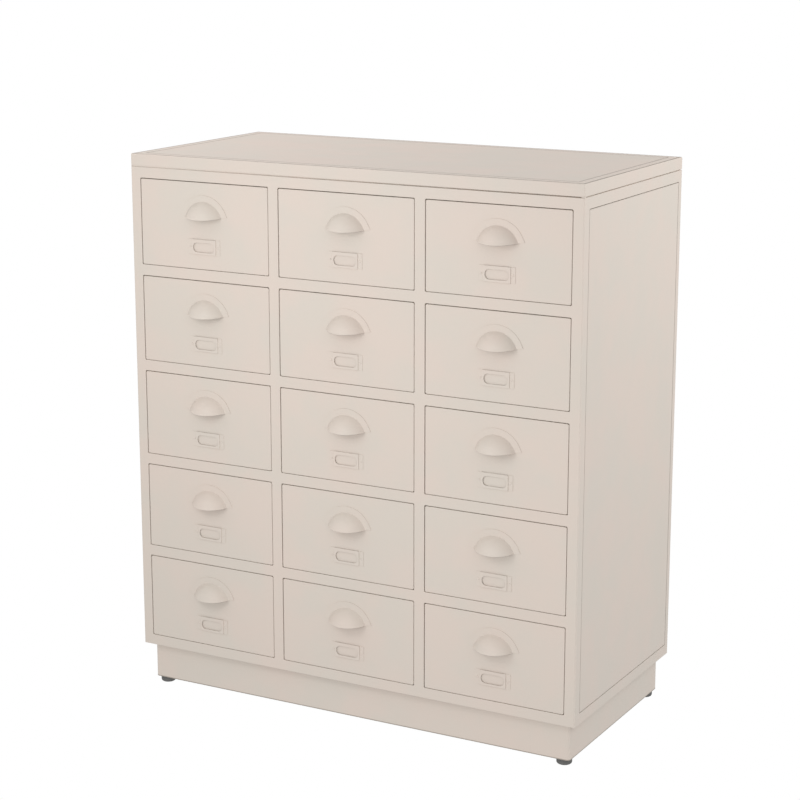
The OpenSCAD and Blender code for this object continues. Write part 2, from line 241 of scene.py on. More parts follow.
def joined(surfaces: list[Surface]) -> Surface:
    """Several surfaces as one.

    Args:
        surfaces: At least one surface.

    Returns:
        One surface with all their points and faces, in order.
    """
    starts = np.cumsum([0] + [len(surface.points) for surface in surfaces]).tolist()
    faces = [[number + start for number in face]
             for start, surface in zip(starts, surfaces) for face in surface.faces]
    return Surface(np.concatenate([surface.points for surface in surfaces]), faces,
                   np.concatenate([surface.wear_and_highlight for surface in surfaces]),
                   np.concatenate([surface.shade_and_dust for surface in surfaces]))


def plain_surface(points: Array, faces: Array) -> Surface:
    """A surface with no paler edges and no painted shade anywhere."""
    nothing = np.zeros(len(points))
    return Surface(points, faces.tolist(), nothing, nothing)


def loft(outlines: list[Outline], facing: Facing, origin: tuple[float, float, float],
         ring: bool = False) -> Surface:
    """A closed surface through outlines of equally many points.

    Point (i, j) is point j of outline i. Quads join neighbours, and either the first and last outlines
    are filled with a flat face each or, in a ring, the last joins the first.

    Args:
        outlines: The outlines in order, so that the outside lies to the right of the way out.
        facing: Which way the shape faces.
        origin: Where its zero lies, in metres.
        ring: Whether the loft closes into a ring.

    Returns:
        The surface in the frame's coordinates.
    """
    rows = np.stack([outline.points() for outline in outlines])
    count, around_count = rows.shape[:2]
    faces = grid_faces(count, around_count, ring, True).tolist()
    if not ring:
        first = list(range(around_count))[::-1]
        last = list(range((count - 1) * around_count, count * around_count))
        faces += [first, last]
    wear_and_highlight = np.repeat([outline.wear_and_highlight for outline in outlines], around_count)
    shade_and_dust = np.repeat([outline.shade_and_dust for outline in outlines], around_count)
    return Surface(facing.place(rows, origin), faces, wear_and_highlight, shade_and_dust)


def soft_block(size: tuple[float, float, float], edge: float, facing: Facing,
               origin: tuple[float, float, float]) -> Surface:
    """A block with rounded edges on its two ends and between its sides.

    Args:
        size: Its size along the facing's first and second axes, and out.
        edge: Radius of the edges.
        facing: Which way its last side faces.
        origin: Middle of its first end.

    Returns:
        A loft of rounded rectangles.
    """
    far = round_over(around((0, 0), size[:2], edge, 0), edge, size[2])
    return loft(turned_over(far, size[2]) + far, facing, origin)


# ---------------------------------------------------------------- shaders

class Number:
    """A socket that carries numbers. Python's operators add the Math nodes."""

    def __init__(self, shader: "Shader", socket: bpy.types.NodeSocket) -> None:
        """Wraps a socket of a shader."""
        self.shader = shader
        self.socket = socket

    def _math(self, operation: str, first: "Number | float", second: "Number | float") -> "Number":
        """One Math node on two values."""
        node = self.shader.node("ShaderNodeMath", {"operation": operation}, {0: first, 1: second})
        return Number(self.shader, node.outputs[0])

    def __add__(self, other: "Number | float") -> "Number":
        """Sum."""
        return self._math("ADD", self, other)

    def __radd__(self, other: float) -> "Number":
        """Sum with a number on the left."""
        return self._math("ADD", other, self)

    def __mul__(self, other: "Number | float") -> "Number":
        """Product."""
        return self._math("MULTIPLY", self, other)

    def __rmul__(self, other: float) -> "Number":
        """Product with a number on the left."""
        return self._math("MULTIPLY", other, self)

    def at_most(self, other: "Number | float") -> "Number":
        """The smaller of two values."""
        return self._math("MINIMUM", self, other)

    def span(self, low: float, high: float) -> "Number":
        """A smooth step.

        Args:
            low: Where it leaves 0.
            high: Where it reaches 1.

        Returns:
            0 below low, 1 above high and x * x * (3 - 2 * x) between them.
        """
        settings = {"interpolation_type": "SMOOTHSTEP"}
        node = self.shader.node("ShaderNodeMapRange", settings, {0: self, 1: low, 2: high, 3: 0.0, 4: 1.0})
        return Number(self.shader, node.outputs[0])


class Shader:
    """A material with one Principled surface, and the nodes that feed it."""

    def __init__(self, name: str) -> None:
        """Makes an empty material with its surface.

        Args:
            name: The material's name.
        """
        self.material = bpy.data.materials.new(name)
        self.material.use_nodes = True
        self.tree = self.material.node_tree
        self.tree.nodes.clear()
        output = self.node("ShaderNodeOutputMaterial", {}, {})
        self.surface = self.node("ShaderNodeBsdfPrincipled", {}, {})
        self.tree.links.new(self.surface.outputs[0], output.inputs[0])
        self.place = self.node("ShaderNodeTexCoord", {}, {}).outputs["Object"]

    def node(self, kind: str, settings: dict, inputs: dict) -> bpy.types.Node:
        """Adds a node.

        Args:
            kind: The node's type.
            settings: Its properties.
            inputs: Values or links of its sockets, by name or number.

        Returns:
            The node.
        """
        made = self.tree.nodes.new(kind)
        for name, value in settings.items():
            setattr(made, name, value)
        for name, value in inputs.items():
            self.feed(made.inputs[name], value)
        return made

    def feed(self, socket: bpy.types.NodeSocket, value: object) -> None:
        """Links a socket to another one, or sets its value.

        Args:
            socket: The socket that is fed.
            value: A number, a colour, a socket or a wrapped socket.
        """
        source = value.socket if isinstance(value, Number) else value
        if isinstance(source, bpy.types.NodeSocket):
            self.tree.links.new(source, socket)
        elif isinstance(source, tuple) and socket.type == "RGBA":
            socket.default_value = (*source, 1.0)
        else:
            socket.default_value = source

    def set(self, **inputs: object) -> None:
        """Feeds the surface's sockets, named with _ for a space."""
        for name, value in inputs.items():
            self.feed(self.surface.inputs[name.replace("_", " ")], value)

    def noise(self, size: float, detail: float = 2.0, stretch: Colour = (1, 1, 1),
              offset: float = 0.0) -> Number:
        """Smooth noise about 0.5, whose blobs are about size metres across.

        Args:
            size: Size of a blob, in metres.
            detail: How many finer layers it has.
            stretch: Factor on its size along each axis.
            offset: How far its pattern is moved, so that two layers differ.

        Returns:
            The noise from 0 to 1.
        """
        scale = tuple(1.0 / (size * s) for s in stretch)
        moved = self.node("ShaderNodeMapping", {}, {"Vector": self.place, "Location": (offset,) * 3,
                                                    "Scale": scale})
        made = self.node("ShaderNodeTexNoise", {}, {"Vector": moved.outputs[0], "Scale": 1.0,
                                                    "Detail": detail, "Roughness": NOISE_ROUGHNESS})
        return Number(self, made.outputs[0])

    def mark(self, name: str) -> Number:
        """A number that the piece's mesh keeps for each of its points."""
        node = self.node("ShaderNodeAttribute", {"attribute_name": name}, {})
        return Number(self, node.outputs["Fac"])

    def mix(self, factor: Number | float, first: object, second: object) -> bpy.types.NodeSocket:
        """A colour between two.

        Args:
            factor: 0 for the first colour, 1 for the second.
            first: A colour or a colour's socket.
            second: A colour or a colour's socket.

        Returns:
            The mixed colour's socket.
        """
        node = self.node("ShaderNodeMix", {"data_type": "RGBA"}, {})
        for socket, value in ((node.inputs[0], factor), (node.inputs[6], first), (node.inputs[7], second)):
            self.feed(socket, value)
        return node.outputs[2]

    def bump(self, height: Number, depth: float, after: object = None) -> bpy.types.NodeSocket:
        """A normal that a height from 0 to 1 tilts.

        Args:
            height: The height.
            depth: What a height of 1 is, in metres.
            after: A normal's socket that this one builds on.

        Returns:
            The normal's socket.
        """
        inputs = {"Height": height, "Distance": depth, "Strength": 1.0}
        if after is not None:
            inputs["Normal"] = after
        return self.node("ShaderNodeBump", {}, inputs).outputs[0]


@dataclass(frozen=True)
class PowderCoat:
    """Sprayed and baked powder on steel: satin, with a faint orange peel.

    Attributes:
        name: The material's name.
        colour: Its plain colour.
        warm: A slightly warmer tone, in cloudy patches.
        cool: A slightly cooler tone, in other patches.
        worn_and_highlight: Its paler tone on edges: thin coat in part, painted highlight in part.
        shade_and_dust_tone: Its dark tone for painted shade in seams, lines and creases and under edges, and
            for dirt.
        roughness: Its middle roughness.
        spread: How much its roughness varies with handling.
        specular: Its specular level.
        peel: Depth of the orange peel, in metres. The sheet's waves are four times as deep.
        cloud_size: Size of the warm and cool clouds, in metres.
        patch_size: Size of the plain patches.
        speck_size: Size of the specks that break up the paler edges and the painted shade.
        touch_size: Size of the handled patches.
        peel_size: Size of the orange peel's grains.
        wave_size: Size of the sheet's waves.
    """

    name: str
    colour: Colour = (0.640, 0.568, 0.504)
    warm: Colour = (0.652, 0.566, 0.502)
    cool: Colour = (0.624, 0.567, 0.504)
    worn_and_highlight: Colour = (0.680, 0.615, 0.550)
    shade_and_dust_tone: Colour = (0.300, 0.262, 0.225)
    roughness: float = 0.50
    spread: float = 0.12
    specular: float = 0.35
    peel: float = 0.00002
    cloud_size: float = 0.11
    patch_size: float = 0.045
    speck_size: float = 0.0012
    touch_size: float = 0.03
    peel_size: float = 0.0018
    wave_size: float = 0.05

    def material(self) -> bpy.types.Material:
        """The coat, with its tone mixed from clouds, patches, paler edges with painted highlight and painted
        shade, in that order.

        Returns:
            The material.
        """
        shader = Shader(self.name)
        cloud = shader.noise(self.cloud_size, 3.0).span(0.35, 0.65)
        patch = shader.noise(self.patch_size, 2.0, offset=7.0).span(0.45, 0.75)
        speck = shader.noise(self.speck_size, 1.0, offset=3.0)
        tone = shader.mix(cloud, self.cool, self.warm)
        tone = shader.mix(patch * 0.6, tone, self.colour)
        # paler edges: thin coat and a painted highlight along rounded edges
        tone = shader.mix(shader.mark("wear_and_highlight") * (0.35 + 0.3 * speck), tone, self.worn_and_highlight)
        # painted shade: dark lines in seams and creases and under edges, partly dirt
        tone = shader.mix((shader.mark("shade_and_dust") * (0.6 + 0.5 * speck)).at_most(1.0), tone, self.shade_and_dust_tone)
        handled = shader.noise(self.touch_size, 3.0, stretch=(1.6, 1.0, 0.7), offset=11.0)
        peel = shader.noise(self.peel_size, 1.5, offset=5.0)
        waves = shader.noise(self.wave_size, 1.0, offset=13.0)
        normal = shader.bump(waves, self.peel * 4)
        shader.set(Base_Color=tone, Roughness=self.roughness - self.spread / 2 + self.spread * handled,
                   Normal=shader.bump(peel, self.peel, normal), Specular_IOR_Level=self.specular)
        return shader.material


@dataclass(frozen=True)
class ZincPlate:
    """Bright zinc on steel, with drawn streaks and a cloudy bloom.

    Attributes:
        name: The material's name.
        bright: Its clean tone.
        bloom: Its tone where it has bloomed.
        streak: Factors on a streak's size along each axis.
        cloud_size: Size of the bloom's clouds and of a streak before it is drawn out, in metres.
        depth: Depth of the streaks, in metres.
    """

    name: str
    bright: Colour = (0.62, 0.63, 0.65)
    bloom: Colour = (0.44, 0.45, 0.46)
    streak: Colour = (0.02, 4.0, 0.02)
    cloud_size: float = 0.02
    depth: float = 0.00002

    def material(self) -> bpy.types.Material:
        """The plating, rougher where it has bloomed and along its streaks.

        Returns:
            The material.
        """
        shader = Shader(self.name)
        cloud = shader.noise(self.cloud_size, 4.0).span(0.35, 0.7)
        drawn = shader.noise(self.cloud_size, 3.0, stretch=self.streak)
        shader.set(Base_Color=shader.mix(cloud, self.bright, self.bloom), Metallic=1.0,
                   Roughness=0.28 + 0.16 * cloud + 0.1 * drawn, Normal=shader.bump(drawn, self.depth))
        return shader.material


@dataclass(frozen=True)
class MouldedPlastic:
    """Dark moulded plastic with a fine grain, with paler scuffs and a painted highlight along its rounded
    edges.

    Attributes:
        name: The material's name.
        colour: Its plain colour.
        scuffed_and_highlight: Its paler tone for scuffs and for the painted highlight.
        grain_size: Size of the grain, in metres.
        grain_depth: Depth of the grain.
        scuff_size: Size of the scuffs away from the paler edges.
    """

    name: str
    colour: Colour = (0.040, 0.040, 0.041)
    scuffed_and_highlight: Colour = (0.130, 0.128, 0.124)
    grain_size: float = 0.0006
    grain_depth: float = 0.00003
    scuff_size: float = 0.004

    def material(self) -> bpy.types.Material:
        """The plastic, rougher where it is scuffed or has the painted highlight.

        Returns:
            The material.
        """
        shader = Shader(self.name)
        grain = shader.noise(self.grain_size, 2.0)
        scuffs = shader.noise(self.scuff_size, 3.0, offset=4.0).span(0.45, 0.7)
        # random scuffs plus the paler edges: painted highlight, partly wear
        scuff_and_highlight = (scuffs * 0.4 + shader.mark("wear_and_highlight")).at_most(1.0)
        shader.set(Base_Color=shader.mix(scuff_and_highlight, self.colour, self.scuffed_and_highlight),
                   Roughness=0.5 + 0.15 * scuff_and_highlight, Normal=shader.bump(grain, self.grain_depth))
        return shader.material


# ---------------------------------------------------------------- making pieces

class Slot(Enum):
    """The record's material slots."""

    CASE = "case_paint"
    DRAWER = "drawer_paint"
    FITTING = "fitting_paint"
    INNER = "inner_paint"
    ZINC = "zinc_steel"
    FOOT = "foot_plastic"


@dataclass
class Workshop:
    """Turns surfaces into pieces and gives every piece its finish.

    Attributes:
        finishes: The material of each slot.
        count: How many pieces were made.
    """

    finishes: dict[Slot, bpy.types.Material]
    count: int = 0

    def make(self, name: str, surface: Surface, slot: Slot, body: str,
             stands_for: tuple[str, ...] = ()) -> bpy.types.Object:
        """Makes one piece.

        Args:
            name: The piece's name.
            surface: Its surface, in the frame's coordinates.
            slot: The material slot that its finish comes from.
            body: The body that it rides on.
            stands_for: The nodes that it replaces.

        Returns:
            The piece.
        """
        mesh = bpy.data.meshes.new(name)
        mesh.from_pydata(surface.points.tolist(), [], surface.faces)
        # rub: paler edges, thin coat and painted highlight; dust: painted shade, partly dirt
        for mark, values in (("wear_and_highlight", surface.wear_and_highlight), ("shade_and_dust", surface.shade_and_dust)):
            layer = mesh.attributes.new(mark, "FLOAT", "POINT")
            layer.data.foreach_set("value", values.astype(np.float32))
        self._close(mesh)
        mesh.materials.append(self.finishes[slot])
        piece = bpy.data.objects.new(name, mesh)
        bpy.context.scene.collection.objects.link(piece)
        even = piece.modifiers.new("even_shading", "WEIGHTED_NORMAL")
        even.keep_sharp = True
        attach(piece, body)
        if stands_for:
            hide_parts(*stands_for)
        self.count += 1
        LOG.info("%s: %d faces, on %s", name, len(mesh.polygons), body)
        return piece

    @staticmethod
    def _close(mesh: bpy.types.Mesh) -> None:
        """Merges a mesh's double points, turns its faces outwards and shades it smooth up to sharp edges.

        Args:
            mesh: The mesh, which is changed.
        """
        edit = bmesh.new()
        edit.from_mesh(mesh)
        bmesh.ops.remove_doubles(edit, verts=edit.verts, dist=MERGE)
        bmesh.ops.dissolve_degenerate(edit, edges=edit.edges, dist=MERGE)
        bmesh.ops.recalc_face_normals(edit, faces=edit.faces)
        edit.to_mesh(mesh)
        edit.free()
        mesh.shade_smooth()
        mesh.set_sharp_from_angle(angle=SHARP)

    def dress(self, node: str, slot: Slot) -> None:
        """Gives a CAD node that stays in view its finish.

        Args:
            node: The node's name.
            slot: The material slot.
        """
        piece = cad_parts[node]
        piece.data.materials.clear()
        piece.data.materials.append(self.finishes[slot])
        LOG.info("%s: dressed as %s", node, slot.value)


# ---------------------------------------------------------------- the case

@dataclass
class Case:
    """The welded frame with its panels.

    Attributes:
        shop: Where the pieces are made.
        body: The body that they ride on.
        tube_face: Width of a tube as seen from the front.
        tube_depth: Depth of a front tube, and width of the rim around the top.
        back_tube_depth: Depth of a back post.
        groove: Height of the shadow groove under the top frame.
        pad: Side of the weld pads in that groove.
        corner: Radius of the case's upright corners.
        top_edge: Radius of the top's outer edge.
        edge: Radius of a tube's other edges that show.
        opening_corner: Radius of an opening's corners.
        wear_and_highlight_fade: Width over which the paler edge around an opening fades out.
        sheet: Thickness of the panels' sheet.
        line_width: Width of the line pressed around a panel.
        line_edge: Radius of the line's edge on the raised field.
        field_fade: Width over which the painted shade on that edge fades out.
        seam_width: Width of the seam behind the top's rounded edge.
        seam_depth: Depth of that seam.
        seam_fade: Width over which the painted shade behind the seam fades out.
        inner_fade: Width of the same at the rim's inner edge.
        strip_back: How far the back of the strip in the groove lies in from the case's faces.
        strip_side: How far that strip lies behind the sides and the back.
        strip_in: How far its front lies behind the case's face at the left end.
        strip_lean: How much deeper its front lies at the right end than at the left.
    """

    shop: Workshop
    body: str = "case"
    tube_face: float = 0.020
    tube_depth: float = 0.020
    back_tube_depth: float = 0.015
    groove: float = 0.0015
    pad: float = 0.007
    corner: float = 0.003
    top_edge: float = 0.0018
    edge: float = 0.0009
    opening_corner: float = 0.0022
    wear_and_highlight_fade: float = 0.0027
    sheet: float = 0.0012
    line_width: float = 0.0012
    line_edge: float = 0.0004
    field_fade: float = 0.002
    seam_width: float = 0.0024
    seam_depth: float = 0.0009
    seam_fade: float = 0.0012
    inner_fade: float = 0.002
    strip_back: float = 0.014
    strip_side: float = 0.003
    strip_in: float = 0.0009
    strip_lean: float = 0.005

    def __post_init__(self) -> None:
        """Reads the case's outer sizes from the frame."""
        self.low, self.high = (np.array(corner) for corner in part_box("corner_posts"))
        self.posts_top = float(self.high[2]) - self.groove

    def build(self) -> None:
        """Makes every piece of the case."""
        self.front_frame()
        self.back_posts()
        self.weld_pads()
        self.groove_strip()
        self.top_frame()
        self.panels()
        for node in ("side_and_back_rails", "back_panel"):
            self.shop.dress(node, Slot.CASE)
        for node in ("inner_walls", "bottom_panel"):
            self.shop.dress(node, Slot.INNER)
        self.shop.dress("drawer_channels", Slot.ZINC)

    def _openings(self) -> tuple[Array, Array, Array, Array]:
        """Edges of the openings.

        Returns:
            Their left, right, lower and upper edges, one for each column or row.
        """
        width, height = self.high[0] - self.low[0], self.posts_top - self.low[2]
        across = (width - (COLUMNS + 1) * self.tube_face) / COLUMNS
        up = (height - (ROWS + 1) * self.tube_face) / ROWS
        left = self.low[0] + self.tube_face + np.arange(COLUMNS) * (across + self.tube_face)
        bottom = self.low[2] + self.tube_face + np.arange(ROWS) * (up + self.tube_face)
        return left, left + across, bottom, bottom + up

    @staticmethod
    def _bounds_between(low_edges: Array, high_edges: Array, first: float, last: float) -> Array:
        """The outer edges and the middles of the tubes between openings."""
        return np.concatenate([[first], (high_edges[:-1] + low_edges[1:]) / 2, [last]])

    def front_frame(self) -> None:
        """Front posts, rails and uprights, welded flush and ground, as one skin.

        Each opening is a loft from the frame's face over a rounded edge to its back. The skin around
        the whole frame is a profile carried along its outer edge: at angle t it is drawn in by
        corner * (1 - cos t) at the sides and edge * (1 - cos t) above and below.
        """
        left, right, bottom, top = self._openings()
        across = self._bounds_between(left, right, self.low[0], self.high[0])
        up = self._bounds_between(bottom, top, self.low[2], self.posts_top)
        face_across = across + np.where(across == across[0], self.corner, 0) \
            - np.where(across == across[-1], self.corner, 0)
        face_up = up + np.where(up == up[0], self.edge, 0) - np.where(up == up[-1], self.edge, 0)
        origin = (0, self.low[1], 0)
        cells = []
        for column in range(COLUMNS):
            for row in range(ROWS):
                hole = Outline((left[column], bottom[row]), (right[column], top[row]), self.opening_corner, 0)
                face = Outline((face_across[column], face_up[row]),
                               (face_across[column + 1], face_up[row + 1]), 0, 0)
                back = Outline((across[column], up[row]), (across[column + 1], up[row + 1]), 0,
                               -self.tube_depth)
                # paler rounded edge round each opening: thin coat and painted highlight
                rim = round_under(hole.inset(-self.edge, 0), self.edge, 0, wear_and_highlight=0.7)
                rows = [face, hole.inset(-self.wear_and_highlight_fade, 0), *rim, replace(hole, out=-self.tube_depth), back]
                cells.append(loft(rows, Facing.FRONT, origin, ring=True))
        for cell in cells:  # the quads from a cell's back to its face would be walls between cells
            cell.faces = cell.faces[:-4 * (ARC_STEPS + 1)]
        self.shop.make("front_frame", joined(cells + [self._frame_edge(across, up, origin)]), Slot.CASE,
                       self.body, ("corner_posts", "front_rails", "front_mullions"))

    def _frame_edge(self, across: Array, up: Array, origin: tuple[float, float, float]) -> Surface:
        """Skin around the outside of the front frame.

        Along its bottom it has 8 * cos t of painted shade, at most 1: a dark line under the case.

        Args:
            across: Places across the front where cells of the frame meet.
            up: Places up the front where they meet.
            origin: Where the frame's face lies.

        Returns:
            The surface.
        """
        path = np.array([*((x, up[0]) for x in across[:-1]), *((across[-1], z) for z in up[:-1]),
                         *((x, up[-1]) for x in across[:0:-1]), *((across[0], z) for z in up[:0:-1])])
        inward = np.stack([(path[:, 0] == across[0]) * 1.0 - (path[:, 0] == across[-1]),
                           (path[:, 1] == up[0]) * 1.0 - (path[:, 1] == up[-1])], -1)
        turn = np.linspace(np.pi / 2, 0, 2 * EDGE_STEPS + 1)
        drawn_in = np.append(1 - np.cos(turn), 0.0)[:, None, None]
        out = np.append(self.corner * (np.sin(turn) - 1), -self.tube_depth)
        flat = path + drawn_in * inward * np.array([self.corner, self.edge])
        # painted shade: a dark line along the frame's lower edge, over the plinth
        below = (path[:, 1] == up[0]) & (path[:, 0] != across[0]) & (path[:, 0] != across[-1])
        shade_and_dust = np.outer(np.append(np.clip(8 * np.cos(turn), 0, 1), 1.0), below).ravel()
        level = np.broadcast_to(out[:, None, None], (*flat.shape[:2], 1))
        points = Facing.FRONT.place(np.concatenate([flat, level], -1), origin)
        return replace(plain_surface(points, grid_faces(len(out), len(path), False, True)), shade_and_dust=shade_and_dust)

    def _back_post(self, side: int) -> tuple[float, float]:
        """Middle of the back post on the left, for -1, or on the right, for 1."""
        return side * (self.high[0] - self.tube_face / 2), self.high[1] - self.back_tube_depth / 2

    def back_posts(self) -> None:
        """The two back posts, rounded only at the case's corners, as the rails meet them flush."""
        posts = []
        size = (self.tube_face, self.back_tube_depth)
        for side in (-1, 1):
            radius = (self.corner if side > 0 else 0, self.corner if side < 0 else 0, 0, 0)
            foot = around(self._back_post(side), size, radius, 0)
            posts.append(loft([foot, replace(foot, out=self.posts_top - self.low[2])], Facing.UP,
                              (0, 0, self.low[2])))
        self.shop.make("back_posts", joined(posts), Slot.CASE, self.body)

    def weld_pads(self) -> None:
        """Small pads that carry the top frame over the groove: in the front corners and on the back posts."""
        pads = []
        for side in (-1, 1):
            front = (side * (self.high[0] - self.pad / 2), self.low[1] + self.pad / 2)
            for middle, radius in ((front, self.corner), (self._back_post(side), self.edge)):
                foot = around(middle, (self.pad, self.pad), radius, 0)
                pads.append(loft([foot, replace(foot, out=self.groove)], Facing.UP, (0, 0, self.posts_top)))
        self.shop.make("weld_pads", joined(pads), Slot.CASE, self.body)

    def groove_strip(self) -> None:
        """The filler strip in the groove, pushed in deeper towards the right end of the front.

        Its front lies strip_in behind the case's face at the left end and strip_lean more at the right
        end, in a straight line. Its other sides lie strip_side in.
        """
        rim = Outline((self.low[0], self.low[1]), (self.high[0], self.high[1]), 0, 0)
        outer, inner = rim.inset(self.strip_side, 0), rim.inset(self.strip_back, 0)
        strip = loft([outer, replace(outer, out=self.groove), replace(inner, out=self.groove), inner],
                     Facing.UP, (0, 0, self.posts_top), ring=True)
        along = (strip.points[:, 0] - self.low[0]) / (self.high[0] - self.low[0])
        lean = self.strip_in - self.strip_side + self.strip_lean * along
        strip.points[:, 1] += lean * (strip.points[:, 1] < 0)
        self.shop.make("groove_strip", strip, Slot.CASE, self.body)

    def top_frame(self) -> None:
        """The ring of tube around the top, with a rounded outer edge and a seam behind it, darkened with
        painted shade.
        """
        low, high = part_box("top_frame")
        height = high.z - low.z
        rim = Outline((low.x, low.y), (high.x, high.y), self.corner, 0)
        inner = self.tube_depth
        soft = self.edge * EDGE_MIDDLE
        under = [rim.inset(inner, 0), rim.inset(self.edge, 0), rim.inset(soft, soft), rim.inset(0, self.edge)]
        # paler top edge: thin coat and painted highlight
        over = round_over(rim, self.top_edge, height, wear_and_highlight=0.4)
        # painted shade: a dark line where the rounded edge meets the seam
        over[-1] = replace(over[-1], shade_and_dust=0.8)
        start = self.top_edge
        end = start + self.seam_width
        floor = height - self.seam_depth
        # painted shade: a dark line in the seam
        seam = [rim.inset(start, floor, shade_and_dust=1.0), rim.inset(end, floor, shade_and_dust=1.0),
                rim.inset(end, height, shade_and_dust=0.9), rim.inset(end + self.seam_fade, height)]
        # painted shade: a dark line along the rim's inner edge
        fall = [rim.inset(inner - self.inner_fade, height), *(replace(row, shade_and_dust=0.8) for row in round_under(
            rim.inset(inner - self.line_edge, height), self.line_edge, height))]
        self.shop.make("top_rim", loft(under + over + seam + fall, Facing.UP, (0, 0, low.z), ring=True),
                       Slot.CASE, self.body, ("top_frame",))

    def pressed_panel(self, size: tuple[float, float], thick: float, facing: Facing,
                      origin: tuple[float, float, float], painted_shade: float) -> Surface:
        """A panel pressed from one sheet: a flange all round and a raised field that is hollow behind.

        Painted shade darkens the line between them and the field's edge.

        Args:
            size: Its width and height.
            thick: Its whole thickness.
            facing: Which way its face looks.
            origin: Middle of its back.
            painted_shade: How much painted shade darkens the field's rounded edge.

        Returns:
            The surface.
        """
        flange = around((0, 0), size, 0, 0)
        hollow = self.line_width + self.sheet
        # painted shade: dark lines in the pressed line and on the field's edge
        foot = flange.inset(self.line_width, self.sheet, shade_and_dust=1.0)
        rows = [flange.inset(hollow, thick - self.sheet), flange.inset(hollow, 0), flange,
                flange.inset(0, self.sheet, shade_and_dust=1.0), foot,
                flange.inset(self.line_width, thick - 2 * self.line_edge, shade_and_dust=1.0),
                *(replace(row, shade_and_dust=painted_shade) for row in round_over(foot, self.line_edge, thick)),
                flange.inset(self.line_width + self.field_fade, thick)]
        return loft(rows, facing, origin)

    def panels(self) -> None:
        """The top panel and both side panels."""
        low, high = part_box("top_panel")
        self.shop.make("top_sheet", self.pressed_panel(
            (high.x - low.x, high.y - low.y), high.z - low.z, Facing.UP,
            (0, (low.y + high.y) / 2, low.z), 0.7), Slot.CASE, self.body, ("top_panel",))
        for side, facing in (("left", Facing.LEFT), ("right", Facing.RIGHT)):
            node = f"{side}_side_panel"
            low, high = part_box(node)
            inner_x = high.x if facing is Facing.LEFT else low.x
            self.shop.make(f"{side}_sheet", self.pressed_panel(
                (high.y - low.y, high.z - low.z), high.x - low.x, facing,
                (inner_x, (low.y + high.y) / 2, (low.z + high.z) / 2), 0.2), Slot.CASE, self.body, (node,))


# ---------------------------------------------------------------- drawers

